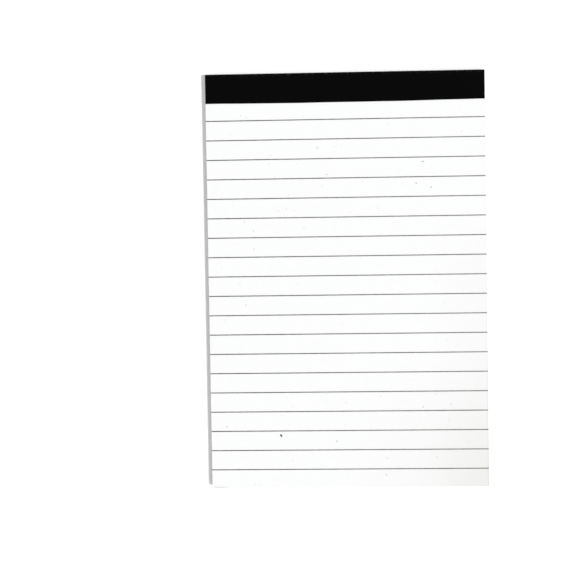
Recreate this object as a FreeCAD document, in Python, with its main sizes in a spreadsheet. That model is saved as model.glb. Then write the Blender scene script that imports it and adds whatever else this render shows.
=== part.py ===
import FreeCAD, Part
import os
import Sketcher
from FreeCAD import Vector

# A small ruled writing pad, nominally 4 by 6 inches. Fifty sheets of recycled paper lie on a
# chipboard back, are gummed together along the head edge and are bound there with a black
# tape folded over the head.
#
# The pad lies on its back: +X is the reader's right, +Y is towards the taped head and +Z is
# up. The origin is under the middle of the pad, level with the underside of the tape, which
# is the lowest thing on it. Lengths are in millimetres.

# Driving dimensions: name, value and what it measures

SIZES = [
    ("pad_width", 102, "left edge to right edge"),
    ("sheet_length", 152, "foot edge to head edge of the paper and the board"),
    ("sheet_thickness", 0.1, "one leaf with the air under it"),
    ("sheet_count", 50, "leaves in the pad"),
    ("leaf_gap", 0.02, "air between two leaves where their edges show"),
    ("leaf_gap_depth", 0.15, "how far in from the trimmed edge that air reaches"),
    ("worn_corner", 1.25, "radius of the foot's left corner, rounded by handling"),
    ("board_thickness", 0.75, "chipboard back"),
    ("gum_thickness", 0.2, "film of padding gum on the head edge"),
    ("tape_thickness", 0.2, "binding tape with its adhesive"),
    ("front_lap", 10.5, "tape on the top sheet, from the tape's outer face"),
    ("back_lap", 12, "tape under the board, from the tape's outer face"),
    ("rule_drop", 6.55, "tape's edge down to the middle of the first rule"),
    ("rule_pitch", 7.144, "one rule to the next, nine thirty-seconds of an inch"),
    ("rule_width", 0.35, "one printed rule"),
    ("ink_thickness", 0.02, "height of the ink above the paper"),
    ("foot_margin", 5, "least bare paper between the last rule and the foot edge"),
]

# Sizes that follow from the driving ones, as expressions on the sheet

STACK_HEIGHT = "Sizes.sheet_count * Sizes.sheet_thickness"
BLOCK_HEIGHT = f"(Sizes.board_thickness + {STACK_HEIGHT})"
PAD_LENGTH = "(Sizes.sheet_length + Sizes.gum_thickness + Sizes.tape_thickness)"
FOOT_EDGE = f"-{PAD_LENGTH} / 2"
HEAD_EDGE = f"Sizes.sheet_length - {PAD_LENGTH} / 2"
BOARD_TOP = "Sizes.tape_thickness + Sizes.board_thickness"
SHEET_TOP = f"Sizes.tape_thickness + {BLOCK_HEIGHT}"
FIRST_RULE = f"{PAD_LENGTH} / 2 - Sizes.front_lap - Sizes.rule_drop"
RULED_LENGTH = f"({FIRST_RULE} + {PAD_LENGTH} / 2 - Sizes.foot_margin)"
RULE_COUNT = f"floor({RULED_LENGTH} / Sizes.rule_pitch) + 1"
TAPE_FACE = "Sizes.gum_thickness + Sizes.tape_thickness"

# A curve's points and a sketch's axes, as a sketch numbers them

START, END, CENTRE = range(1, 4)
X_AXIS, Y_AXIS = range(-1, -3, -1)
ORIGIN = (X_AXIS, START)

# Two unit directions whose cross product is shorter than this lie along one line

ONE_LINE = 1e-6

doc = FreeCAD.newDocument("LegalPad")
sheet = doc.addObject("Spreadsheet::Sheet", "Sizes")


def fill_sheet():
    for row, (name, number, meaning) in enumerate(SIZES, start=1):
        sheet.set(f"A{row}", name)
        sheet.set(f"B{row}", str(number))
        sheet.set(f"C{row}", meaning)
        sheet.setAlias(f"B{row}", name)
    doc.recompute()


def value(expression):
    """The number that an expression on the sheet gives now."""
    return float(sheet.evalExpression(expression))


def new_body(name, y, z):
    """An empty body whose own origin stands at the given place, on the pad's middle line."""
    body = doc.addObject("PartDesign::Body", name)
    body.Label = name
    body.setExpression("Placement.Base.y", y)
    body.setExpression("Placement.Base.z", z)
    return body


def origin_feature(body, role):
    return next(item for item in body.Origin.OriginFeatures if item.Role == role)


def new_sketch(body, name, plane):
    sketch = body.newObject("Sketcher::SketchObject", name)
    sketch.AttachmentSupport = [(origin_feature(body, plane), "")]
    sketch.MapMode = "FlatFace"
    return sketch


def draw_curve(sketch, start, end, centre):
    """Draw a level or upright line, or the quarter arc about a centre where one is given.

    Returns its number in the sketch, the curve, and which of its points it starts and ends at.
    """
    if centre is None:
        line = Part.LineSegment(start, end)
        number = sketch.addGeometry(line, False)
        upright = abs(end.x - start.x) < abs(end.y - start.y)
        sketch.addConstraint(Sketcher.Constraint("Vertical" if upright else "Horizontal", number))
        return number, line, START, END
    middle = Vector(*centre, 0)
    circle = Part.Circle(middle, Vector(0, 0, 1), (start - middle).Length)
    anticlockwise = (start - middle).cross(end - middle).z > 0
    low, high = (start, end) if anticlockwise else (end, start)
    arc = Part.ArcOfCircle(circle, circle.parameter(low), circle.parameter(high))
    number = sketch.addGeometry(arc, False)
    return (number, arc, START, END) if anticlockwise else (number, arc, END, START)


def is_smooth(curve, other, point):
    """Whether two curves that meet at the point run along one line there."""
    first, second = (item.tangent(item.parameter(point))[0] for item in (curve, other))
    return first.cross(second).Length < ONE_LINE


def draw_loop(sketch, stops):
    """Draw a closed loop through its stops and join each curve to the one before it.

    A stop is x, y and the centre of the arc that leaves it, or None where a line does.
    Curve number i of the sketch leaves stop number i.
    """
    points = [Vector(x, y, 0) for x, y, centre in stops]
    next_points = points[1:] + points[:1]
    curves = [
        draw_curve(sketch, start, end, centre)
        for start, end, (x, y, centre) in zip(points, next_points, stops)
    ]
    for index, corner in enumerate(points):
        number, curve, first_point, last_point = curves[index]
        before, curve_before, first_before, last_before = curves[index - 1]
        kind = "Tangent" if is_smooth(curve_before, curve, corner) else "Coincident"
        sketch.addConstraint(Sketcher.Constraint(kind, before, last_before, number, first_point))


def dimension(sketch, name, kind, places, expression):
    """Add a named dimension to a sketch and tie it to the sheet."""
    index = sketch.addConstraint(Sketcher.Constraint(kind, *places, value(expression)))
    sketch.renameConstraint(index, name)
    sketch.setExpression(f"Constraints.{name}", expression)


def new_pad(body, name, sketch, length, symmetric=False):
    pad = body.newObject("PartDesign::Pad", name)
    pad.Profile = sketch
    pad.SideType = "Symmetric" if symmetric else "One side"
    pad.setExpression("Length", length)
    sketch.Visibility = False
    return pad


def repeat(body, name, feature, axis, step, count, backwards=False):
    """Repeat a feature in a straight row along one of the body's own axes."""
    pattern = body.newObject("PartDesign::LinearPattern", name)
    pattern.Originals = [feature]
    pattern.Direction = (origin_feature(body, axis), [""])
    pattern.Reversed = backwards
    pattern.Mode = "Spacing"
    pattern.setExpression("Offset", step)
    pattern.setExpression("Occurrences", count)
    body.Tip = pattern


def sheet_outline(body, name, inset="0"):
    """The outline of a trimmed sheet, foot on the X axis, with its one worn corner.

    The inset draws the left, foot and right edges in by that much; the head edge stays.
    """
    width = f"Sizes.pad_width - 2 * {inset}"
    length = f"Sizes.sheet_length - {inset}"
    corner = f"Sizes.worn_corner - {inset}"
    side = value(width) / 2
    head = value(length)
    radius = value(corner)
    sketch = new_sketch(body, name, "XY_Plane")
    sketch.setExpression("AttachmentOffset.Base.y", inset)
    draw_loop(sketch, [
        (radius - side, 0, None),
        (side, 0, None),
        (side, head, None),
        (-side, head, None),
        (-side, radius, (radius - side, radius)),
    ])
    foot_edge, right_edge, head_edge, left_edge, worn = range(5)
    sketch.addConstraint(Sketcher.Constraint("PointOnObject", foot_edge, END, X_AXIS))
    dimension(sketch, "width", "DistanceX", (head_edge, END, head_edge, START), width)
    dimension(sketch, "right", "DistanceX", (*ORIGIN, right_edge, START), f"({width}) / 2")
    dimension(sketch, "length", "DistanceY", (right_edge, START, right_edge, END), length)
    dimension(sketch, "worn", "Radius", (worn,), corner)
    return sketch


def make_backing_board():
    """One sheet of chipboard, cut to the size of the paper."""
    body = new_body("backing_board", FOOT_EDGE, "Sizes.tape_thickness")
    outline = sheet_outline(body, "board_outline")
    new_pad(body, "board", outline, "Sizes.board_thickness")
    return body


def make_writing_sheets():
    """The leaves, each with a little air under its free edges, joined as one block."""
    body = new_body("writing_sheets", FOOT_EDGE, BOARD_TOP)
    core_outline = sheet_outline(body, "core_outline", "Sizes.leaf_gap_depth")
    new_pad(body, "pressed_core", core_outline, STACK_HEIGHT)
    leaf_outline = sheet_outline(body, "leaf_outline")
    leaf_outline.setExpression("AttachmentOffset.Base.z", "Sizes.leaf_gap")
    leaf = new_pad(body, "leaf", leaf_outline, "Sizes.sheet_thickness - Sizes.leaf_gap")
    repeat(body, "leaves", leaf, "Z_Axis", "Sizes.sheet_thickness", "Sizes.sheet_count")
    return body


def make_head_gum():
    """The gum on the head edge of paper and board, rounded over where the tape folds."""
    body = new_body("head_gum", HEAD_EDGE, "Sizes.tape_thickness")
    section = new_sketch(body, "gum_section", "YZ_Plane")
    gum = value("Sizes.gum_thickness")
    top = value(BLOCK_HEIGHT)
    draw_loop(section, [
        (0, top, None),
        (0, 0, (0, gum)),
        (gum, gum, None),
        (gum, top - gum, (0, top - gum)),
    ])
    inner_face, lower_fold, outer_face, upper_fold = range(4)
    section.addConstraint([
        Sketcher.Constraint("Coincident", inner_face, END, *ORIGIN),
        Sketcher.Constraint("PointOnObject", lower_fold, CENTRE, Y_AXIS),
        Sketcher.Constraint("PointOnObject", upper_fold, CENTRE, Y_AXIS),
    ])
    dimension(section, "fold", "Radius", (lower_fold,), "Sizes.gum_thickness")
    dimension(section, "height", "DistanceY", (*ORIGIN, inner_face, START), BLOCK_HEIGHT)
    new_pad(body, "gum_film", section, "Sizes.pad_width", symmetric=True)
    return body


def make_binding_tape():
    """The tape, folded tightly round the gummed head and stuck down front and back."""
    body = new_body("binding_tape", HEAD_EDGE, "Sizes.tape_thickness")
    section = new_sketch(body, "tape_section", "YZ_Plane")
    gum = value("Sizes.gum_thickness")
    tape = value("Sizes.tape_thickness")
    face = value(TAPE_FACE)
    top = value(BLOCK_HEIGHT)
    front = face - value("Sizes.front_lap")
    back = face - value("Sizes.back_lap")
    lower_centre = (0, gum)
    upper_centre = (0, top - gum)
    draw_loop(section, [
        (front, top + tape, None),
        (0, top + tape, upper_centre),
        (face, top - gum, None),
        (face, gum, lower_centre),
        (0, -tape, None),
        (back, -tape, None),
        (back, 0, None),
        (0, 0, lower_centre),
        (gum, gum, None),
        (gum, top - gum, upper_centre),
        (0, top, None),
        (front, top, None),
    ])
    (
        front_face, outer_top, outer_face, outer_bottom, back_face, back_edge,
        glued_back, inner_bottom, glued_head, inner_top, glued_front, front_edge,
    ) = range(12)
    section.addConstraint([
        Sketcher.Constraint("Coincident", glued_back, END, *ORIGIN),
        Sketcher.Constraint("Coincident", outer_bottom, CENTRE, inner_bottom, CENTRE),
        Sketcher.Constraint("Coincident", outer_top, CENTRE, inner_top, CENTRE),
        Sketcher.Constraint("Equal", inner_bottom, inner_top),
    ])
    dimension(section, "inner_fold", "Radius", (inner_bottom,), "Sizes.gum_thickness")
    dimension(section, "outer_fold", "Radius", (outer_bottom,), TAPE_FACE)
    dimension(section, "height", "DistanceY", (*ORIGIN, front_edge, START), BLOCK_HEIGHT)
    dimension(section, "front", "DistanceX", (front_edge, END, outer_face, START), "Sizes.front_lap")
    dimension(section, "back", "DistanceX", (back_edge, END, outer_face, START), "Sizes.back_lap")
    new_pad(body, "tape_strip", section, "Sizes.pad_width", symmetric=True)
    return body


def make_printed_rules():
    """Grey rules from edge to edge of the top sheet, each a thin strip of ink."""
    body = new_body("printed_rules", f"{FIRST_RULE} - Sizes.rule_width / 2", SHEET_TOP)
    body.AllowCompound = True
    outline = new_sketch(body, "rule_outline", "XY_Plane")
    side = value("Sizes.pad_width") / 2
    width = value("Sizes.rule_width")
    draw_loop(outline, [
        (-side, 0, None),
        (side, 0, None),
        (side, width, None),
        (-side, width, None),
    ])
    lower_edge, right_end = range(2)
    outline.addConstraint(Sketcher.Constraint("PointOnObject", lower_edge, START, X_AXIS))
    dimension(outline, "reach", "DistanceX", (lower_edge, START, lower_edge, END), "Sizes.pad_width")
    dimension(outline, "right", "DistanceX", (*ORIGIN, lower_edge, END), "Sizes.pad_width / 2")
    dimension(outline, "width", "DistanceY", (right_end, START, right_end, END), "Sizes.rule_width")
    rule = new_pad(body, "rule", outline, "Sizes.ink_thickness")
    repeat(body, "rules", rule, "Y_Axis", "Sizes.rule_pitch", RULE_COUNT, backwards=True)
    return body


def check(bodies):
    for item in doc.Objects:
        if "Invalid" in item.State or "Error" in item.State:
            raise RuntimeError(f"{item.Label} did not build: {item.State}")
    for body in bodies:
        if body.Shape.isNull() or not body.Shape.isValid():
            raise RuntimeError(f"{body.Label} has no sound shape")


fill_sheet()
pieces = [
    make_backing_board(),
    make_writing_sheets(),
    make_head_gum(),
    make_binding_tape(),
    make_printed_rules(),
]
doc.recompute()
check(pieces)

os.makedirs("parts", exist_ok=True)
for piece in pieces:
    piece.Shape.exportStep(f"parts/{piece.Label}.step")
    box = piece.Shape.BoundBox
    print(f"{piece.Label}: {len(piece.Shape.Solids)} solid(s), {piece.Shape.Volume:.3f} mm3,",
          f"x {box.XMin:.3f} to {box.XMax:.3f}, y {box.YMin:.3f} to {box.YMax:.3f},",
          f"z {box.ZMin:.3f} to {box.ZMax:.3f}")
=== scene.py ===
import math
import random
import bpy
from mathutils import Matrix, Vector


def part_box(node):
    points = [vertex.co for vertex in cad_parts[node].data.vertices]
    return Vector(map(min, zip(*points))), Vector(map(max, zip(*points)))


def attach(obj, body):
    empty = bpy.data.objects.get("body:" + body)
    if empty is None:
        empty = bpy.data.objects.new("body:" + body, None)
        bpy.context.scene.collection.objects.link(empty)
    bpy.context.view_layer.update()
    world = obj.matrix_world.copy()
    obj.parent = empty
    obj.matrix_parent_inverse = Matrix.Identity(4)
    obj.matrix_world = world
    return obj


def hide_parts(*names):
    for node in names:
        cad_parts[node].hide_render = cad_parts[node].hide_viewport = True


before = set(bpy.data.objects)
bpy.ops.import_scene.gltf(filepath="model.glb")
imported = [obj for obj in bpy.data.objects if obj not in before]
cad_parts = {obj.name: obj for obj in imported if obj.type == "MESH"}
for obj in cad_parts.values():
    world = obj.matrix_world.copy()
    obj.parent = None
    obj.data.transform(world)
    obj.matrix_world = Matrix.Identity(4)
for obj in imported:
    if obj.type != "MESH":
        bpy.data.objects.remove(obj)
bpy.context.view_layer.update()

# A ruled writing pad lying on its back, seen from straight above. Lengths are in metres,
# +X is to the reader's right, +Y is towards the taped head and +Z is up.

MM = 0.001
draw = random.Random(406)

# Places and sizes that the frame gives

sheets_low, sheets_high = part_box("writing_sheets")
board_low, board_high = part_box("backing_board")
tape_low, tape_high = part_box("binding_tape")
rules_low, rules_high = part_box("printed_rules")
gum_low, gum_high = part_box("head_gum")

PAD_WIDTH = sheets_high.x - sheets_low.x
SHEET_LENGTH = sheets_high.y - sheets_low.y
SHEET_COUNT = 50
LEAF_PITCH = (sheets_high.z - sheets_low.z) / SHEET_COUNT
RULE_COUNT = 19
RULE_WIDTH = 0.35 * MM
RULE_PITCH = (rules_high.y - rules_low.y - RULE_WIDTH) / (RULE_COUNT - 1)
LAST_RULE = rules_low.y + RULE_WIDTH / 2
GUM_THICKNESS = gum_high.y - gum_low.y
TAPE_THICKNESS = tape_high.y - gum_high.y
FRONT_LAP = 10.6 * MM
FRONT_LAP_EDGE = tape_high.y - FRONT_LAP
WORN_CORNER = 1.25 * MM

# Where an edge's points stand after its worn end, in mm, before they are evenly spaced

NEAR_STATIONS = (2, 3, 4.5, 6.5, 9, 12)

# The tape's long edges, which stray and are pressed thin, the front one's bow, and the mesh's step

FRONT_LAP_BOW = 0.28 * MM
BOW_LEAN = 0.3
TAPE_STRAY = 0.05 * MM
TAPE_WAVE = 40 * MM
PRESSED_SHARE = 0.6
TAPE_STEP = 1.5 * MM

# The tape's scuffs and painted highlight on the folds: where they start, on the laps and on the head,
# and where they are full

LAP_SCUFF_AND_SHEEN = 1.1 * MM
HEAD_SCUFF_AND_SHEEN = 1.3 * MM
FULL_SCUFF_AND_SHEEN = 0.3 * MM

# The board's cut edges, which stray and are crushed, and the step of its outline

BOARD_CRUSH = 0.07 * MM
BOARD_STRAY = 0.012 * MM
BOARD_WAVE = 50 * MM
BOARD_STEP = 6 * MM

# Paper, as it is made, cut and printed, and as it lies after some handling

LEAF_AIR = 0.014 * MM
LEAF_JOG = 0.11 * MM
JOG_STEP = 0.28
JOG_JUMP_CHANCE = 0.12
EDGE_WANDER = 0.02 * MM
SIDE_WAVE = 60 * MM
FOOT_WAVE = 45 * MM
SHEET_STEP = 5 * MM
LIFTED_LEAVES = 6
CORNER_CURL = 0.13 * MM
CURL_REACH = 15 * MM
COCKLE = 0.03 * MM
COCKLE_WAVE = 46 * MM
INK_RISE = 0.006 * MM
INK_SPREAD = (0.96, 1.10)
CHIP_CORNERS = 9
CHIP_REACH = (0.7, 1.15)
FIBRE_STRETCH = 12
BARE_CELLS = 0.42
KNIFE_SHARE = 0.5

# Painted shade on the top sheet: about its foot right corner, and up its right edge

CORNER_SHADE_REACH = 66 * MM
EDGE_SHADE_REACH = 22 * MM
CORNER_SHADE_FADES = -8 * MM
CORNER_SHADE_ENDS = 30 * MM

# Painted shade along the top sheet's rims: from where it starts to where it is full, and its ends

RIGHT_RIM = (0.55 * MM, 0.15 * MM)
RIGHT_RIM_ENDS = 10 * MM
FOOT_RIM = (0.6 * MM, 0.2 * MM)
FOOT_RIM_ENDS = (7 * MM, 3 * MM)

# The ends of the ruling on the cut sides: their middle and drift as shares of the pitch

RULE_END_MIDDLE = 0.53
RULE_END_DRIFT = 0.06

# Colours as sRGB hex values

PAPER_WHITE = "#F6F6F6"
PAPER_MOTTLE = "#F3F4F4"
# Painted shade at the top sheet's foot right corner
PAPER_CORNER_SHADE = "#E9E9E7"
# The cut sides' tone, partly painted shade between the sheets
PAPER_CUT_AND_SHADE = "#CFCCC4"
PULP_FLECK = "#8E8B86"
PULP_FIBRE = "#C9C7C2"
BARK_SPECK = "#141312"
INKED_SPECK = "#B9B7B4"
FAINT_SPECK = "#E1E0DE"
# Painted shade along the top sheet's right and foot rims
PAPER_RIM_SHADE = "#C9C8C5"
RULE_GREY = "#3D3D3C"
RULE_FAINT = "#797975"
TAPE_BLACK = "#040405"
# Pale scuffs on the tape's folds, partly a painted highlight
TAPE_SCUFF_AND_SHEEN = "#262628"
BOARD_GREY = "#A09686"
BOARD_DARK = "#857A6B"
BOARD_FLECK = "#5F564C"
BOARD_LIGHT = "#BDB4A5"
GUM_CREAM = "#E4DFD0"
GUM_PALE = "#E6E4DE"
FLOOR_WHITE = "#FEFEFE"
FLOOR_SHADE = "#FCFCFC"
FLOOR_GLOW = 0.10


def linear(code):
    """An sRGB hex value as linear red, green and blue, with full alpha."""
    channels = [int(code[place:place + 2], 16) / 255 for place in (1, 3, 5)]
    return (*(c / 12.92 if c <= 0.04045 else ((c + 0.055) / 1.055) ** 2.4 for c in channels), 1.0)


def per(size_mm):
    """The scale of a texture in object space whose pattern repeats at about this many mm."""
    return 1 / (size_mm * MM)


def add_node(owner, kind, inputs=None, **settings):
    """Add a shader node with its settings to a material or the world.

    An input is a value, or the output that it is linked to.
    """
    node = owner.node_tree.nodes.new("ShaderNode" + kind)
    for name, setting in settings.items():
        setattr(node, name, setting)
    for socket, source in (inputs or {}).items():
        if isinstance(source, bpy.types.NodeSocket):
            owner.node_tree.links.new(source, node.inputs[socket])
        else:
            node.inputs[socket].default_value = source
    return node


# The sockets of a colour Mix node

MIX_FACTOR, MIX_A, MIX_B, MIX_RESULT = 0, 6, 7, 2


def new_material(name, **surface):
    """A material whose shader has these plain values, and the shader itself."""
    material = bpy.data.materials.new(name)
    material.use_nodes = True
    shader = material.node_tree.nodes["Principled BSDF"]
    for socket, number in surface.items():
        shader.inputs[socket.replace("_", " ")].default_value = number
    return material, shader


def feed(owner, shader, socket, output):
    """Link an output to a socket of the material's or the world's own shader."""
    owner.node_tree.links.new(output, shader.inputs[socket])


def levelness(owner):
    """One on a face that looks straight up or down, and zero on an upright one."""
    normal = add_node(owner, "SeparateXYZ", {
        "Vector": add_node(owner, "NewGeometry").outputs["True Normal"],
    })
    return add_node(owner, "Math", {0: normal.outputs["Z"]}, operation="ABSOLUTE").outputs["Value"]


def recycled_bond_paper():
    """Uncoated bond paper made from waste pulp, calendered and then cut by guillotine.

    The eye gets a flat, nearly white surface with soft mottling, a few dark flecks and short
    fibres, and painted shade towards the top sheet's foot right corner and along its rims. The
    cut sides are a little darker, partly as painted shade between the sheets, with knife lines
    down them and the ends of the ruling, which bleeds off every sheet.
    """
    paper, shader = new_material("recycled_bond_paper", Roughness=0.92, IOR=1.5)
    shader.inputs["Specular IOR Level"].default_value = 0.2
    place = add_node(paper, "TexCoord").outputs["Object"]
    clump = add_node(paper, "TexNoise", {"Vector": place, "Scale": per(2.4), "Detail": 5.0})
    mottled = add_node(paper, "Mix", {
        MIX_FACTOR: clump.outputs["Fac"], MIX_A: linear(PAPER_WHITE), MIX_B: linear(PAPER_MOTTLE),
    }, data_type="RGBA")

    # Painted shade: the foot's right corner is a shade darker, and less so the edge above it
    spot = add_node(paper, "SeparateXYZ", {"Vector": place})
    far = add_node(paper, "VectorMath", {
        0: place, 1: (sheets_high.x, sheets_low.y, sheets_high.z),
    }, operation="DISTANCE")
    near = add_node(paper, "MapRange", {
        "Value": far.outputs["Value"], "From Min": 0.0, "From Max": CORNER_SHADE_REACH,
        "To Min": 0.95, "To Max": 0.0,
    })
    corner = add_node(paper, "Math", {0: near.outputs["Result"], 1: 2.0}, operation="POWER")
    inward = add_node(paper, "MapRange", {
        "Value": spot.outputs["X"], "From Min": sheets_high.x - EDGE_SHADE_REACH,
        "From Max": sheets_high.x, "To Max": 0.30,
    })
    upward = add_node(paper, "MapRange", {
        "Value": spot.outputs["Y"], "From Min": CORNER_SHADE_FADES, "From Max": CORNER_SHADE_ENDS,
        "To Min": 1.0, "To Max": 0.0,
    }, interpolation_type="SMOOTHSTEP")
    tone_mask = add_node(paper, "Math", {
        0: inward.outputs["Result"], 1: upward.outputs["Result"], 2: corner.outputs["Value"],
    }, operation="MULTIPLY_ADD")
    corner_shade = add_node(paper, "Math", {0: tone_mask.outputs["Value"], 1: 1.0}, operation="MINIMUM")
    toned = add_node(paper, "Mix", {
        MIX_FACTOR: corner_shade.outputs["Value"], MIX_A: mottled.outputs[MIX_RESULT],
        MIX_B: linear(PAPER_CORNER_SHADE),
    }, data_type="RGBA")

    # Painted shade on the rims: the right edge darker towards the foot, and the foot edge by its worn
    # corner
    at_rim = add_node(paper, "MapRange", {
        "Value": spot.outputs["X"], "From Min": sheets_high.x - RIGHT_RIM[0],
        "From Max": sheets_high.x - RIGHT_RIM[1],
    })
    right_shade_strength = add_node(paper, "MapRange", {
        "Value": spot.outputs["Y"], "From Min": sheets_low.y, "From Max": RIGHT_RIM_ENDS,
        "To Min": 0.42, "To Max": 0.06,
    })
    at_foot = add_node(paper, "MapRange", {
        "Value": spot.outputs["Y"], "From Min": sheets_low.y + FOOT_RIM[0],
        "From Max": sheets_low.y + FOOT_RIM[1], "To Max": 0.75,
    })
    at_worn = add_node(paper, "MapRange", {
        "Value": spot.outputs["X"], "From Min": sheets_low.x + FOOT_RIM_ENDS[0],
        "From Max": sheets_low.x + FOOT_RIM_ENDS[1],
    })
    rim = add_node(paper, "Math", {
        0: at_rim.outputs["Result"], 1: right_shade_strength.outputs["Result"],
    }, operation="MULTIPLY")
    rim_shade = add_node(paper, "Math", {
        0: at_foot.outputs["Result"], 1: at_worn.outputs["Result"], 2: rim.outputs["Value"],
    }, operation="MULTIPLY_ADD")
    edged = add_node(paper, "Mix", {
        MIX_FACTOR: rim_shade.outputs["Value"], MIX_A: toned.outputs[MIX_RESULT],
        MIX_B: linear(PAPER_RIM_SHADE),
    }, data_type="RGBA")

    # Flecks sit in some cells of a 3.4 mm net, bent out of round. Most are very faint
    bend = add_node(paper, "TexNoise", {"Vector": place, "Scale": per(0.35), "Detail": 2.0})
    bent = add_node(paper, "VectorMath", {
        0: bend.outputs["Color"], 1: (0.40 * MM, 0.40 * MM, 0.40 * MM), 2: place,
    }, operation="MULTIPLY_ADD")
    net = add_node(paper, "TexVoronoi", {"Vector": bent.outputs["Vector"], "Scale": per(3.4)})
    lot = add_node(paper, "SeparateColor", {"Color": net.outputs["Color"]})
    chosen = add_node(paper, "Math", {0: lot.outputs["Red"], 1: BARE_CELLS}, operation="GREATER_THAN")
    size = add_node(paper, "MapRange", {
        "Value": lot.outputs["Green"], "To Min": 0.06, "To Max": 0.14,
    })
    inside = add_node(paper, "MapRange", {
        "Value": net.outputs["Distance"], "From Min": size.outputs["Result"], "From Max": 0.02,
    })
    fleck = add_node(paper, "Math", {
        0: chosen.outputs["Value"], 1: inside.outputs["Result"],
    }, operation="MULTIPLY")
    strength = add_node(paper, "Math", {0: lot.outputs["Blue"], 1: 3.0}, operation="POWER")
    faint = add_node(paper, "Math", {
        0: strength.outputs["Value"], 1: 0.30, 2: 0.10,
    }, operation="MULTIPLY_ADD")
    weight = add_node(paper, "Math", {
        0: fleck.outputs["Value"], 1: faint.outputs["Value"],
    }, operation="MULTIPLY")
    flecked = add_node(paper, "Mix", {
        MIX_FACTOR: weight.outputs["Value"], MIX_A: edged.outputs[MIX_RESULT],
        MIX_B: linear(PULP_FLECK),
    }, data_type="RGBA")

    # Short fibres: thin cells stretched along one of two slants
    colour = flecked.outputs[MIX_RESULT]
    for slant in (35, -62):
        turned = add_node(paper, "Mapping", {
            "Vector": bent.outputs["Vector"], "Rotation": (0, 0, math.radians(slant)),
            "Scale": (FIBRE_STRETCH, 1.0, 1.0),
        }, vector_type="TEXTURE")
        strands = add_node(paper, "TexVoronoi", {
            "Vector": turned.outputs["Vector"], "Scale": per(1.1),
        })
        share = add_node(paper, "SeparateColor", {"Color": strands.outputs["Color"]})
        rare = add_node(paper, "Math", {0: share.outputs["Red"], 1: 0.93}, operation="GREATER_THAN")
        thin = add_node(paper, "MapRange", {
            "Value": strands.outputs["Distance"], "From Min": 0.02, "From Max": 0.06,
            "To Min": 0.55, "To Max": 0.0,
        })
        fibre = add_node(paper, "Math", {
            0: rare.outputs["Value"], 1: thin.outputs["Result"],
        }, operation="MULTIPLY")
        colour = add_node(paper, "Mix", {
            MIX_FACTOR: fibre.outputs["Value"], MIX_A: colour, MIX_B: linear(PULP_FIBRE),
        }, data_type="RGBA").outputs[MIX_RESULT]

    # Sides of the block: every face that doesn't look up or down. Their darker tone is partly
    # painted shade between the sheets, along with knife lines and layer bands
    side = add_node(paper, "Math", {0: levelness(paper), 1: 0.5}, operation="LESS_THAN")
    stretched = add_node(paper, "Mapping", {"Vector": place, "Scale": (1.0, 1.0, 0.04)})
    knife = add_node(paper, "TexNoise", {
        "Vector": stretched.outputs["Vector"], "Scale": per(0.7), "Detail": 3.0,
    })
    layers = add_node(paper, "Mapping", {"Vector": place, "Scale": (0.01, 0.01, 1.0)})
    bands = add_node(paper, "TexNoise", {
        "Vector": layers.outputs["Vector"], "Scale": per(0.4), "Detail": 4.0,
    })
    drawn = add_node(paper, "Math", {
        0: knife.outputs["Fac"], 1: KNIFE_SHARE, 2: bands.outputs["Fac"],
    }, operation="MULTIPLY_ADD")
    cut_tone = add_node(paper, "MapRange", {
        "Value": drawn.outputs["Value"], "From Min": 0.15, "From Max": 1.3,
    })
    edge = add_node(paper, "Mix", {
        MIX_FACTOR: cut_tone.outputs["Result"], MIX_A: linear(PAPER_WHITE),
        MIX_B: linear(PAPER_CUT_AND_SHADE),
    }, data_type="RGBA")

    # Where the ruling reaches the sides, its ends make a faint grey column down the block
    steps = add_node(paper, "MapRange", {
        "Value": spot.outputs["Y"], "From Min": LAST_RULE, "From Max": LAST_RULE + RULE_PITCH,
        "To Min": 0.5, "To Max": 1.5,
    }, clamp=False)
    register = add_node(paper, "Math", {
        0: bands.outputs["Fac"], 1: RULE_END_DRIFT, 2: steps.outputs["Result"],
    }, operation="MULTIPLY_ADD")
    turn = add_node(paper, "Math", {0: register.outputs["Value"]}, operation="FRACT")
    off = add_node(paper, "Math", {
        0: turn.outputs["Value"], 1: RULE_END_MIDDLE,
    }, operation="SUBTRACT")
    apart = add_node(paper, "Math", {0: off.outputs["Value"]}, operation="ABSOLUTE")
    column = add_node(paper, "MapRange", {
        "Value": apart.outputs["Value"], "From Min": 0.02, "From Max": 0.05,
        "To Min": 0.28, "To Max": 0.0,
    })
    ruled = add_node(paper, "Math", {
        0: spot.outputs["Y"], 1: rules_high.y + RULE_PITCH / 2,
    }, operation="LESS_THAN")
    end_mark = add_node(paper, "Math", {
        0: column.outputs["Result"], 1: ruled.outputs["Value"],
    }, operation="MULTIPLY")
    marked = add_node(paper, "Mix", {
        MIX_FACTOR: end_mark.outputs["Value"], MIX_A: edge.outputs[MIX_RESULT],
        MIX_B: linear(RULE_FAINT),
    }, data_type="RGBA")
    whole = add_node(paper, "Mix", {
        MIX_FACTOR: side.outputs["Value"], MIX_A: colour, MIX_B: marked.outputs[MIX_RESULT],
    }, data_type="RGBA")
    feed(paper, shader, "Base Color", whole.outputs[MIX_RESULT])

    # The felt side's grain is about 0.1 mm. It is drawn at 0.25 mm, so that it shows
    grain = add_node(paper, "TexNoise", {"Vector": place, "Scale": per(0.25), "Detail": 3.0})
    bump = add_node(paper, "Bump", {
        "Height": grain.outputs["Fac"], "Strength": 0.25, "Distance": 0.01 * MM,
    })
    feed(paper, shader, "Normal", bump.outputs["Normal"])
    return paper


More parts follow.
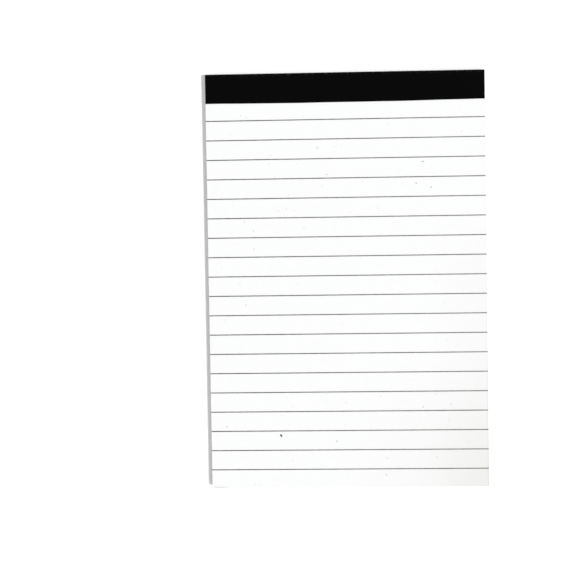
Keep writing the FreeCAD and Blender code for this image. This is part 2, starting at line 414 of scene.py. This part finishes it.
def waste_speck(name, code):
    """A scrap of bark or inked waste in the pulp, pressed flat: dull, uneven in tone."""
    speck, shader = new_material(name, Roughness=0.95)
    shader.inputs["Specular IOR Level"].default_value = 0.15
    place = add_node(speck, "TexCoord").outputs["Object"]
    grain = add_node(speck, "TexNoise", {"Vector": place, "Scale": per(0.2), "Detail": 2.0})
    paled = add_node(speck, "Math", {0: grain.outputs["Fac"], 1: 0.15}, operation="MULTIPLY")
    tone = add_node(speck, "Mix", {
        MIX_FACTOR: paled.outputs["Value"], MIX_A: linear(code), MIX_B: linear(FAINT_SPECK),
    }, data_type="RGBA")
    feed(speck, shader, "Base Color", tone.outputs[MIX_RESULT])
    return speck


def offset_printed_grey():
    """Grey ink laid thin by offset printing: dull, a little paler where less of it took."""
    ink, shader = new_material("offset_printed_grey", Roughness=0.85)
    shader.inputs["Specular IOR Level"].default_value = 0.2
    place = add_node(ink, "TexCoord").outputs["Object"]
    long_wave = add_node(ink, "TexNoise", {"Vector": place, "Scale": per(9.0), "Detail": 2.0})
    fine = add_node(ink, "TexNoise", {"Vector": place, "Scale": per(0.3), "Detail": 2.0})
    both = add_node(ink, "Math", {
        0: long_wave.outputs["Fac"], 1: fine.outputs["Fac"],
    }, operation="ADD")
    thinned = add_node(ink, "MapRange", {
        "Value": both.outputs["Value"], "From Min": 0.75, "From Max": 1.3, "To Max": 0.5,
    })
    across = add_node(ink, "SeparateXYZ", {"Vector": place})
    worn_away = add_node(ink, "MapRange", {
        "Value": across.outputs["X"], "From Min": rules_low.x, "From Max": rules_high.x,
        "To Max": 0.6,
    })
    spread = add_node(ink, "Math", {
        0: thinned.outputs["Result"], 1: worn_away.outputs["Result"],
    }, operation="ADD", use_clamp=True)
    tone = add_node(ink, "Mix", {
        MIX_FACTOR: spread.outputs["Value"], MIX_A: linear(RULE_GREY), MIX_B: linear(RULE_FAINT),
    }, data_type="RGBA")
    feed(ink, shader, "Base Color", tone.outputs[MIX_RESULT])
    return ink


def pressed_binding_tape():
    """Latex-filled paper tape, dyed black and pressed with a linen grain.

    It is black and dull from above. The fine grain and a soft sheen show at a low angle, and
    the folds at the head are a little paler, partly scuffed and partly a painted highlight.
    """
    tape, shader = new_material("pressed_binding_tape", Roughness=0.7)
    shader.inputs["Specular IOR Level"].default_value = 0.02
    shader.inputs["Sheen Weight"].default_value = 0.012
    shader.inputs["Sheen Roughness"].default_value = 0.4
    place = add_node(tape, "TexCoord").outputs["Object"]
    # The head folds are paler: partly scuffs, partly a painted highlight
    scuff_and_sheen_noise = add_node(tape, "TexNoise", {"Vector": place, "Scale": per(1.3), "Detail": 6.0})
    patch = add_node(tape, "MapRange", {
        "Value": scuff_and_sheen_noise.outputs["Fac"], "From Min": 0.5, "From Max": 0.75,
    })
    spot = add_node(tape, "SeparateXYZ", {"Vector": place})
    at_head = add_node(tape, "MapRange", {
        "Value": spot.outputs["Y"], "From Min": tape_high.y - LAP_SCUFF_AND_SHEEN,
        "From Max": tape_high.y - FULL_SCUFF_AND_SHEEN,
    })
    level = add_node(tape, "Math", {
        0: spot.outputs["Z"], 1: (tape_low.z + tape_high.z) / 2,
    }, operation="SUBTRACT")
    reach = add_node(tape, "Math", {0: level.outputs["Value"]}, operation="ABSOLUTE")
    half_height = (tape_high.z - tape_low.z) / 2
    at_face_end = add_node(tape, "MapRange", {
        "Value": reach.outputs["Value"], "From Min": half_height - HEAD_SCUFF_AND_SHEEN,
        "From Max": half_height - FULL_SCUFF_AND_SHEEN, "To Min": 0.12,
    })
    at_fold = add_node(tape, "Math", {
        0: at_head.outputs["Result"], 1: at_face_end.outputs["Result"],
    }, operation="MULTIPLY")
    tone_mask = add_node(tape, "Math", {
        0: patch.outputs["Result"], 1: at_fold.outputs["Value"],
    }, operation="MULTIPLY")
    tone = add_node(tape, "Mix", {
        MIX_FACTOR: tone_mask.outputs["Value"], MIX_A: linear(TAPE_BLACK), MIX_B: linear(TAPE_SCUFF_AND_SHEEN),
    }, data_type="RGBA")
    feed(tape, shader, "Base Color", tone.outputs[MIX_RESULT])

    # The threads of the linen grain are about 0.3 mm apart. They are drawn at 0.6 mm, so that
    # they show. A wave texture runs through 20 radians in each unit of its own
    threads = math.tau * per(0.6) / 20
    weft, warp = (
        add_node(tape, "TexWave", {
            "Vector": place, "Scale": threads, "Distortion": 1.5, "Detail Scale": 3.0,
        }, bands_direction=direction)
        for direction in ("X", "Y")
    )
    woven = add_node(tape, "Math", {
        0: weft.outputs["Fac"], 1: warp.outputs["Fac"],
    }, operation="MAXIMUM")
    bump = add_node(tape, "Bump", {
        "Height": woven.outputs["Value"], "Strength": 0.5, "Distance": 0.03 * MM,
    })
    feed(tape, shader, "Normal", bump.outputs["Normal"])
    return tape


def rolled_chipboard():
    """Board rolled from mixed waste fibre and cut by guillotine.

    It is grey-brown and mottled, with dark and light fibres lying every way in its faces. The
    cut edge shows the plies as streaks along it.
    """
    board, shader = new_material("rolled_chipboard", Roughness=0.9)
    shader.inputs["Specular IOR Level"].default_value = 0.25
    place = add_node(board, "TexCoord").outputs["Object"]
    cloud = add_node(board, "TexNoise", {
        "Vector": place, "Scale": per(6.0), "Detail": 8.0, "Roughness": 0.7,
    })
    spread = add_node(board, "MapRange", {
        "Value": cloud.outputs["Fac"], "From Min": 0.35, "From Max": 0.65,
    })
    tone = add_node(board, "Mix", {
        MIX_FACTOR: spread.outputs["Result"], MIX_A: linear(BOARD_DARK), MIX_B: linear(BOARD_GREY),
    }, data_type="RGBA")
    colour = tone.outputs[MIX_RESULT]
    for slant, length, code, rarity in (
        (20, 9, BOARD_FLECK, 0.72), (-48, 7, BOARD_LIGHT, 0.66),
        (80, 8, BOARD_FLECK, 0.74), (-8, 6, BOARD_LIGHT, 0.70),
        (48, 3, BOARD_FLECK, 0.80), (-75, 3, BOARD_LIGHT, 0.78),
    ):
        turned = add_node(board, "Mapping", {
            "Vector": place, "Rotation": (0, 0, math.radians(slant)), "Scale": (length, 1, 1),
        }, vector_type="TEXTURE")
        strands = add_node(board, "TexVoronoi", {
            "Vector": turned.outputs["Vector"], "Scale": per(0.9),
        })
        share = add_node(board, "SeparateColor", {"Color": strands.outputs["Color"]})
        rare = add_node(board, "Math", {
            0: share.outputs["Red"], 1: rarity,
        }, operation="GREATER_THAN")
        thin = add_node(board, "MapRange", {
            "Value": strands.outputs["Distance"], "From Min": 0.05, "From Max": 0.16,
            "To Min": 0.75, "To Max": 0.0,
        })
        fibre = add_node(board, "Math", {
            0: rare.outputs["Value"], 1: thin.outputs["Result"],
        }, operation="MULTIPLY")
        colour = add_node(board, "Mix", {
            MIX_FACTOR: fibre.outputs["Value"], MIX_A: colour, MIX_B: linear(code),
        }, data_type="RGBA").outputs[MIX_RESULT]
    plies = add_node(board, "Mapping", {"Vector": place, "Scale": (0.05, 0.05, 1.0)})
    streak = add_node(board, "TexNoise", {
        "Vector": plies.outputs["Vector"], "Scale": per(0.25), "Detail": 2.0,
    })
    side = add_node(board, "MapRange", {
        "Value": levelness(board), "From Min": 0.2, "From Max": 0.6,
        "To Min": 1.0, "To Max": 0.0,
    })
    streaked = add_node(board, "Math", {
        0: side.outputs["Result"], 1: streak.outputs["Fac"],
    }, operation="MULTIPLY")
    cut = add_node(board, "Mix", {
        MIX_FACTOR: streaked.outputs["Value"], MIX_A: colour, MIX_B: linear(BOARD_FLECK),
    }, data_type="RGBA")
    feed(board, shader, "Base Color", cut.outputs[MIX_RESULT])
    rough = add_node(board, "TexNoise", {"Vector": place, "Scale": per(0.5), "Detail": 5.0})
    bump = add_node(board, "Bump", {
        "Height": rough.outputs["Fac"], "Strength": 0.4, "Distance": 0.03 * MM,
    })
    feed(board, shader, "Normal", bump.outputs["Normal"])
    return board


def brushed_padding_gum():
    """White padding gum, brushed on and dried to a cream film with a soft shine."""
    gum, shader = new_material("brushed_padding_gum", Roughness=0.4, IOR=1.46)
    place = add_node(gum, "TexCoord").outputs["Object"]
    brushed = add_node(gum, "Mapping", {"Vector": place, "Scale": (0.1, 1.0, 1.0)})
    drag = add_node(gum, "TexNoise", {
        "Vector": brushed.outputs["Vector"], "Scale": per(0.4), "Detail": 3.0,
    })
    tone = add_node(gum, "Mix", {
        MIX_FACTOR: drag.outputs["Fac"], MIX_A: linear(GUM_CREAM), MIX_B: linear(GUM_PALE),
    }, data_type="RGBA")
    feed(gum, shader, "Base Color", tone.outputs[MIX_RESULT])
    bump = add_node(gum, "Bump", {
        "Height": drag.outputs["Fac"], "Strength": 0.3, "Distance": 0.02 * MM,
    })
    feed(gum, shader, "Normal", bump.outputs["Normal"])
    return gum


def seen_directly(owner):
    """One for what the camera sees, straight or by way of a mirror or glass, and zero elsewhere."""
    ray = add_node(owner, "LightPath")
    mirrored = add_node(owner, "Math", {
        0: ray.outputs["Is Camera Ray"], 1: ray.outputs["Is Glossy Ray"],
    }, operation="MAXIMUM")
    return add_node(owner, "Math", {
        0: mirrored.outputs["Value"], 1: ray.outputs["Is Transmission Ray"],
    }, operation="MAXIMUM").outputs["Value"]


def white_table():
    """A matt white table top, with a trace of unevenness.

    To the camera it is a shade whiter, which lights nothing else, and it keeps the shadow.
    """
    table, shader = new_material("white_table", Roughness=0.95)
    shader.inputs["Specular IOR Level"].default_value = 0.0
    place = add_node(table, "TexCoord").outputs["Object"]
    uneven = add_node(table, "TexNoise", {"Vector": place, "Scale": per(90.0), "Detail": 1.0})
    tone = add_node(table, "Mix", {
        MIX_FACTOR: uneven.outputs["Fac"], MIX_A: linear(FLOOR_WHITE), MIX_B: linear(FLOOR_SHADE),
    }, data_type="RGBA")
    feed(table, shader, "Base Color", tone.outputs[MIX_RESULT])
    shader.inputs["Emission Color"].default_value = (1, 1, 1, 1)
    glow = add_node(table, "Math", {0: seen_directly(table), 1: FLOOR_GLOW}, operation="MULTIPLY")
    feed(table, shader, "Emission Strength", glow.outputs["Value"])
    return table


def new_piece(name, points, faces, materials, shades=None):
    """A mesh object of these points and faces."""
    mesh = bpy.data.meshes.new(name)
    mesh.from_pydata([tuple(point) for point in points], [], faces)
    for material in materials:
        mesh.materials.append(material)
    for face, shade in zip(mesh.polygons, shades or [0] * len(faces)):
        face.material_index = shade
    mesh.validate()
    piece = bpy.data.objects.new(name, mesh)
    bpy.context.scene.collection.objects.link(piece)
    return piece


def wander(reach, wave):
    """A smooth random line: a function of length that strays by at most the reach."""
    waves = [(draw.uniform(0.6, 1.5) * wave / step, draw.uniform(0, math.tau), 1 / step)
             for step in (1, 2, 4)]
    total = sum(weight for length, phase, weight in waves)

    def offset(place):
        swing = sum(weight * math.sin(math.tau * place / length + phase)
                    for length, phase, weight in waves)
        return reach * swing / total

    return offset


def ease(share):
    """Smooth step from 0 to 1."""
    share = min(max(share, 0.0), 1.0)
    return share * share * (3 - 2 * share)


class Leaf:
    """One sheet of the block: how far its free edges stand in, and how it lies."""

    def __init__(self, jogs, level):
        self.left, self.foot, self.right = jogs
        self.level = level
        self.left_line = wander(EDGE_WANDER, SIDE_WAVE)
        self.right_line = wander(EDGE_WANDER, SIDE_WAVE)
        self.foot_line = wander(EDGE_WANDER, FOOT_WAVE)

    def place(self, across, along):
        """Where a point of the plain sheet, given from its foot left corner, really lies."""
        across, along = round_corner(across, along)
        low_x = sheets_low.x + self.left + EDGE_WANDER + self.left_line(along)
        high_x = sheets_high.x - self.right - EDGE_WANDER - self.right_line(along)
        low_y = sheets_low.y + self.foot + EDGE_WANDER + self.foot_line(across)
        x = low_x + (high_x - low_x) * across / PAD_WIDTH
        y = low_y + (sheets_high.y - low_y) * along / SHEET_LENGTH
        return x, y

    def lift(self, x, y):
        """How far the sheet stands up from the flat block at a place."""
        far = math.hypot(x - sheets_low.x, y - sheets_low.y)
        curl = CORNER_CURL * max(0.0, 1 - far / CURL_REACH) ** 2
        swell = math.sin(math.tau * x / COCKLE_WAVE) * math.sin(math.tau * y / COCKLE_WAVE + 1)
        free = ease((FRONT_LAP_EDGE - y) / COCKLE_WAVE)
        return self.level ** 2 * (curl + COCKLE * free * (1 + swell) / 2)


def round_corner(across, along):
    """Bend the square at the foot's left corner into the worn, rounded one."""
    if across >= WORN_CORNER or along >= WORN_CORNER:
        return across, along
    a = 1 - across / WORN_CORNER
    b = 1 - along / WORN_CORNER
    bent_a = a * math.sqrt(1 - b * b / 2)
    bent_b = b * math.sqrt(1 - a * a / 2)
    return WORN_CORNER * (1 - bent_a), WORN_CORNER * (1 - bent_b)


def stations(length, step):
    """Places along an edge: close together at its worn end, then evenly spaced."""
    close = [0, WORN_CORNER / 3, 2 * WORN_CORNER / 3, WORN_CORNER]
    close += [place * MM for place in NEAR_STATIONS]
    rest = length - close[-1]
    count = round(rest / step)
    return close + [close[-1] + rest * (number + 1) / count for number in range(count)]


def capped_faces(count, levels=2):
    """The faces of a closed shell made of rings of points, one above another, with flat ends."""
    last = (levels - 1) * count
    faces = [tuple(reversed(range(count))), tuple(range(last, last + count))]
    for low in range(0, last, count):
        for a in range(count):
            b = (a + 1) % count
            faces.append((low + a, low + b, low + count + b, low + count + a))
    return faces


def leaf_mesh(leaf, bottom, top, across, along):
    """A leaf as a closed grid of points, bent as it lies. Returns its points and faces."""
    points = []
    for height in (bottom, top):
        for v in along:
            for u in across:
                x, y = leaf.place(u, v)
                points.append((x, y, height + leaf.lift(x, y)))
    columns, rows = len(across), len(along)
    layer = columns * rows
    faces = []
    for row in range(rows - 1):
        for column in range(columns - 1):
            a = row * columns + column
            b, c, d = a + 1, a + columns + 1, a + columns
            faces.append((a, d, c, b))
            faces.append((layer + a, layer + b, layer + c, layer + d))
    rim = list(range(columns))
    rim += [row * columns + columns - 1 for row in range(1, rows)]
    rim += [(rows - 1) * columns + column for column in range(columns - 2, -1, -1)]
    rim += [row * columns for row in range(rows - 2, 0, -1)]
    for a, b in zip(rim, rim[1:] + rim[:1]):
        faces.append((a, b, layer + b, layer + a))
    return points, faces


def rim_mesh(leaf, bottom, top, across, along):
    """A leaf inside the block, of which only the rim shows: one flat face below and above."""
    ring = [(u, 0) for u in across]
    ring += [(PAD_WIDTH, v) for v in along[1:]]
    ring += [(0, SHEET_LENGTH)]
    ring += [(0, v) for v in reversed(along[1:-1])]
    spots = [leaf.place(u, v) for u, v in ring]
    points = [(x, y, height) for height in (bottom, top) for x, y in spots]
    return points, capped_faces(len(spots))


def fleck_mesh(spot, length, width, slant, top):
    """A scrap of fibre as a thin closed chip with an uneven outline, set in the paper."""
    turn = math.radians(slant)
    ring = []
    for corner in range(CHIP_CORNERS):
        angle = math.tau * corner / CHIP_CORNERS
        reach = draw.uniform(*CHIP_REACH) / 2
        long, wide = length * reach * math.cos(angle), width * reach * math.sin(angle)
        ring.append((
            spot[0] + long * math.cos(turn) - wide * math.sin(turn),
            spot[1] + long * math.sin(turn) + wide * math.cos(turn),
        ))
    points = [(x, y, top + rise) for rise in (-INK_RISE, INK_RISE / 2) for x, y in ring]
    return points, capped_faces(CHIP_CORNERS)


def append(points, faces, shades, part, shade=0):
    """Join another closed shell to a piece that is being built up."""
    first = len(points)
    points.extend(part[0])
    faces.extend(tuple(first + corner for corner in face) for face in part[1])
    shades.extend([shade] * len(part[1]))


# Flecks that stand out on the top sheet: place, length and width in mm, slant in degrees

BARK_SPECKS = [
    ((-25.2, -56.9), 1.25, 0.72, 118),
]
INKED_SPECKS = [
    ((28.2, 43.2), 1.2, 0.45, 8),
    ((31.1, 33.8), 0.7, 0.5, 40),
    ((25.7, 35.4), 0.85, 0.45, 170),
    ((-4.6, -59.1), 0.8, 0.5, 75),
    ((27.2, -46.7), 0.55, 0.4, 100),
    ((-37.4, 22.1), 0.95, 0.3, 0),
]
FAINT_SPECKS = [
    ((-10.2, 48.8), 1.2, 0.8, 60),
    ((-7.0, 39.1), 1.2, 0.7, 5),
    ((-27.5, 46.2), 0.9, 0.6, 20),
    ((-34.1, 18.8), 0.9, 0.8, 30),
    ((-34.0, 12.1), 1.0, 0.6, 85),
    ((-37.4, -8.5), 0.8, 0.6, 45),
    ((-45.3, -53.4), 1.1, 0.8, 15),
    ((37.5, -45.8), 1.0, 0.7, 10),
    ((13.4, -71.7), 0.9, 0.8, 120),
    ((13.9, -65.5), 0.9, 0.7, 20),
    ((-21.0, -66.2), 0.7, 0.5, 90),
    ((-8.6, 34.9), 0.7, 0.5, 80),
]


def jog_walk(count):
    """How far each leaf stands in from the trim, from the lowest up: small steps and jumps."""
    shift = 0.5
    shifts = []
    for leaf in range(count):
        shift += draw.uniform(-JOG_STEP, JOG_STEP)
        if draw.random() < JOG_JUMP_CHANCE:
            shift = draw.random()
        shift = min(max(shift, 0.0), 1.0)
        shifts.append(LEAF_JOG * shift)
    return shifts


def build_sheets(paper, bark, inked, faint):
    """The whole block of leaves as one piece, each leaf a closed shell."""
    points, faces, shades = [], [], []
    jogs = list(zip(jog_walk(SHEET_COUNT), jog_walk(SHEET_COUNT), jog_walk(SHEET_COUNT)))
    across, along = stations(PAD_WIDTH, SHEET_STEP), stations(SHEET_LENGTH, SHEET_STEP)
    for number in range(SHEET_COUNT):
        bottom = sheets_low.z + number * LEAF_PITCH + LEAF_AIR
        top = sheets_low.z + (number + 1) * LEAF_PITCH
        rank = number - (SHEET_COUNT - LIFTED_LEAVES) + 1
        jog = jogs[number] if number < SHEET_COUNT - 1 else (0, 0, 0)
        leaf = Leaf(jog, max(0, rank) / LIFTED_LEAVES)
        shape = leaf_mesh if rank > 0 else rim_mesh
        append(points, faces, shades, shape(leaf, bottom, top, across, along))
    top_leaf = leaf
    for shade, specks in enumerate((BARK_SPECKS, INKED_SPECKS, FAINT_SPECKS), start=1):
        for (x, y), length, width, slant in specks:
            spot = (x * MM, y * MM)
            height = sheets_high.z + top_leaf.lift(*spot)
            chip = fleck_mesh(spot, length * MM, width * MM, slant, height)
            append(points, faces, shades, chip, shade)
    piece = new_piece("sheet_block", points, faces, [paper, bark, inked, faint], shades)
    return piece, top_leaf


def build_rules(ink, top_leaf):
    """The ruling: thin bars of ink that follow the top sheet and end at its edges."""
    points, faces, shades = [], [], []
    cuts = round(PAD_WIDTH / MM)
    for number in range(RULE_COUNT):
        middle = LAST_RULE + number * RULE_PITCH
        along = middle - sheets_low.y
        bar_points = []
        for cut in range(cuts + 1):
            across = PAD_WIDTH * cut / cuts
            x = top_leaf.place(across, along)[0]
            half = RULE_WIDTH / 2 * draw.uniform(*INK_SPREAD)
            height = sheets_high.z + top_leaf.lift(x, middle)
            for y, z in (
                (middle - half, height - INK_RISE), (middle + half, height - INK_RISE),
                (middle + half, height + INK_RISE), (middle - half, height + INK_RISE),
            ):
                bar_points.append((x, y, z))
        bar_faces = [(3, 2, 1, 0), tuple(4 * cuts + corner for corner in range(4))]
        for cut in range(cuts):
            for corner in range(4):
                a = 4 * cut + corner
                b = 4 * cut + (corner + 1) % 4
                bar_faces.append((a, b, b + 4, a + 4))
        append(points, faces, shades, (bar_points, bar_faces))
    return new_piece("ruling", points, faces, [ink], shades)


def tape_path():
    """The middle of the tape's thickness from its front edge round the head to its back edge.

    Each stop is y, z and the outward direction there.
    """
    bend = GUM_THICKNESS + TAPE_THICKNESS / 2
    top = sheets_high.z + TAPE_THICKNESS / 2
    bottom = board_low.z - TAPE_THICKNESS / 2
    turn_y = gum_low.y
    stops = []
    lap_cuts, face_cuts, fold_cuts = 14, 8, 8
    for cut in range(lap_cuts):
        share = 1 - (1 - cut / lap_cuts) ** 2 if cut else 0
        stops.append((FRONT_LAP_EDGE + (turn_y - FRONT_LAP_EDGE) * share, top, (0, 1)))
    for cut in range(fold_cuts + 1):
        angle = math.pi / 2 * (1 - cut / fold_cuts)
        away = (math.cos(angle), math.sin(angle))
        stops.append((turn_y + bend * away[0], top - bend + bend * away[1], away))
    for cut in range(1, face_cuts):
        height = top - bend - (top - bottom - 2 * bend) * cut / face_cuts
        stops.append((turn_y + bend, height, (1, 0)))
    for cut in range(fold_cuts + 1):
        angle = -math.pi / 2 * cut / fold_cuts
        away = (math.cos(angle), math.sin(angle))
        stops.append((turn_y + bend * away[0], bottom + bend + bend * away[1], away))
    for cut in range(1, lap_cuts + 1):
        share = (cut / lap_cuts) ** 2
        stops.append((turn_y - (turn_y - tape_low.y) * share, bottom, (0, -1)))
    return stops


def build_tape(tape):
    """The binding tape: a strip with pressed-down long edges, folded round the head."""
    path = tape_path()
    front_line = wander(TAPE_STRAY, TAPE_WAVE)
    back_line = wander(TAPE_STRAY, TAPE_WAVE)
    turn_y = gum_low.y
    half = PAD_WIDTH / 2
    cuts = round(PAD_WIDTH / TAPE_STEP)
    points, faces = [], []
    last = len(path) - 1
    for cut in range(cuts + 1):
        x = sheets_low.x + PAD_WIDTH * cut / cuts
        for number, (y, z, away) in enumerate(path):
            reach = max(0.0, turn_y - y)
            stray = back_line(x) + TAPE_STRAY
            if away[1] > 0:
                bow = 1 - (x / half) ** 2 - BOW_LEAN * x / half
                stray = front_line(x) - FRONT_LAP_BOW * bow
            stray *= reach / FRONT_LAP
            pressed = PRESSED_SHARE if number in (0, last) else 1.0
            for side, thick in ((-1, 1.0), (1, pressed)):
                step = side * thick * TAPE_THICKNESS / 2
                points.append((x, y + stray + away[0] * step, z + away[1] * step))
    ring = [2 * number + 1 for number in range(last + 1)]
    ring += [2 * number for number in range(last, -1, -1)]
    per_cut = 2 * (last + 1)
    for cut in range(cuts):
        here, there = cut * per_cut, (cut + 1) * per_cut
        for a, b in zip(ring, ring[1:] + ring[:1]):
            faces.append((here + b, here + a, there + a, there + b))
    for cut, turn in ((0, 1), (cuts, -1)):
        start = cut * per_cut
        for number in range(last):
            a = start + 2 * number
            faces.append((a, a + 1, a + 3, a + 2)[::turn])
    return new_piece("tape_strip", points, faces, [tape])


def build_board(board):
    """The chipboard back, with its cut edges crushed a little round."""
    left_line = wander(BOARD_STRAY, BOARD_WAVE)
    right_line = wander(BOARD_STRAY, BOARD_WAVE)
    across, along = stations(PAD_WIDTH, BOARD_STEP), stations(SHEET_LENGTH, BOARD_STEP)
    ring = [(u, 0) for u in across]
    ring += [(PAD_WIDTH, v) for v in along[1:]]
    ring += [(u, SHEET_LENGTH) for u in reversed(across[:-1])]
    ring += [(0, v) for v in reversed(along[1:-1])]
    rounding = [(BOARD_CRUSH, 0), (0.25 * BOARD_CRUSH, 0.3 * BOARD_CRUSH), (0, BOARD_CRUSH)]
    levels = [(inset, board_low.z + rise) for inset, rise in rounding]
    levels += [(inset, board_high.z - rise) for inset, rise in reversed(rounding)]
    points = []
    for inset, z in levels:
        for u, v in ring:
            a, b = round_corner(u, v)
            x = board_low.x + inset + (PAD_WIDTH - 2 * inset) * a / PAD_WIDTH
            x += (BOARD_STRAY + left_line(b)) * (1 - a / PAD_WIDTH)
            x -= (BOARD_STRAY + right_line(b)) * a / PAD_WIDTH
            y = board_low.y + inset + (SHEET_LENGTH - inset) * b / SHEET_LENGTH
            points.append((x, y, z))
    faces = capped_faces(len(ring), len(levels))
    return new_piece("chipboard_back", points, faces, [board])


def build_pad():
    """Every piece of the pad, each standing in for its node. The gum keeps its solid."""
    paper = recycled_bond_paper()
    bark = waste_speck("pressed_bark_speck", BARK_SPECK)
    inked = waste_speck("pressed_inked_speck", INKED_SPECK)
    faint = waste_speck("pressed_faint_speck", FAINT_SPECK)
    sheets, top_leaf = build_sheets(paper, bark, inked, faint)
    ruling = build_rules(offset_printed_grey(), top_leaf)
    tape = build_tape(pressed_binding_tape())
    board = build_board(rolled_chipboard())
    for piece, node, slot in (
        (sheets, "writing_sheets", "recycled_paper"),
        (ruling, "printed_rules", "rule_ink"),
        (tape, "binding_tape", "black_tape"),
        (board, "backing_board", "chipboard"),
    ):
        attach(piece, "root")
        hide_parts(node)
    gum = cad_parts["head_gum"]
    gum.material_slots[0].material = brushed_padding_gum()


# Table, light and camera. The lens is in mm, and the camera's leans and roll are in degrees

TABLE_REACH = 3.0
WORLD_LIGHT = 0.44
KEY_LIGHT = 0.64
KEY_DISTANCE = 12.0
KEY_SIZE = 1.08
KEY_LEAN = (0.34, -0.04)

LENS = 135.4
SENSOR = 36.0
CAMERA_PLACE = (36.4 * MM, 44.5 * MM, 798.2 * MM)
CAMERA_LEAN = (4.2, 3.385)
CAMERA_ROLL = 0.704


def build_table():
    """The table top under the pad, which is scenery and no part of it."""
    corners = [(-TABLE_REACH, -TABLE_REACH, 0), (TABLE_REACH, -TABLE_REACH, 0),
               (TABLE_REACH, TABLE_REACH, 0), (-TABLE_REACH, TABLE_REACH, 0)]
    table = new_piece("table_top", corners, [(0, 1, 2, 3)], [white_table()])


def add_softbox(name, level, distance, size, lean):
    """A square lamp that gives a white surface under it about this level on its own."""
    lamp = bpy.data.lights.new(name, "AREA")
    lamp.size = size
    away = Vector((lean[0], lean[1], 1.0)).normalized()
    lamp.energy = level * math.pi ** 2 * distance ** 2 / away.z
    softbox = bpy.data.objects.new(name, lamp)
    softbox.location = away * distance
    softbox.rotation_mode = "QUATERNION"
    softbox.rotation_quaternion = away.to_track_quat("Z", "Y")
    bpy.context.scene.collection.objects.link(softbox)


def build_world():
    """An even pale surrounding, which the camera and anything glossy see as plain white."""
    world = bpy.data.worlds.new("studio")
    world.use_nodes = True
    level = add_node(world, "MapRange", {
        "Value": seen_directly(world), "To Min": WORLD_LIGHT, "To Max": 1.0,
    })
    backdrop = world.node_tree.nodes["Background"]
    backdrop.inputs["Color"].default_value = (1, 1, 1, 1)
    feed(world, backdrop, "Strength", level.outputs["Result"])
    bpy.context.scene.world = world


def add_camera():
    """The photograph's view: a long lens nearly straight above the pad."""
    lens = bpy.data.cameras.new("camera")
    lens.lens = LENS
    lens.sensor_width = SENSOR
    camera = bpy.data.objects.new("camera", lens)
    back = Vector((*(math.tan(math.radians(lean)) for lean in CAMERA_LEAN), 1.0)).normalized()
    right = (Vector((1, 0, 0)) - back * back.x).normalized()
    right = Matrix.Rotation(-math.radians(CAMERA_ROLL), 3, back) @ right
    up = back.cross(right)
    turn = Matrix((right, up, back)).transposed().to_4x4()
    camera.matrix_world = Matrix.Translation(Vector(CAMERA_PLACE)) @ turn
    bpy.context.scene.collection.objects.link(camera)
    bpy.context.scene.camera = camera


build_pad()
build_table()
build_world()
add_softbox("key_softbox", KEY_LIGHT, KEY_DISTANCE, KEY_SIZE, KEY_LEAN)
add_camera()
bpy.context.scene.view_settings.view_transform = "Standard"
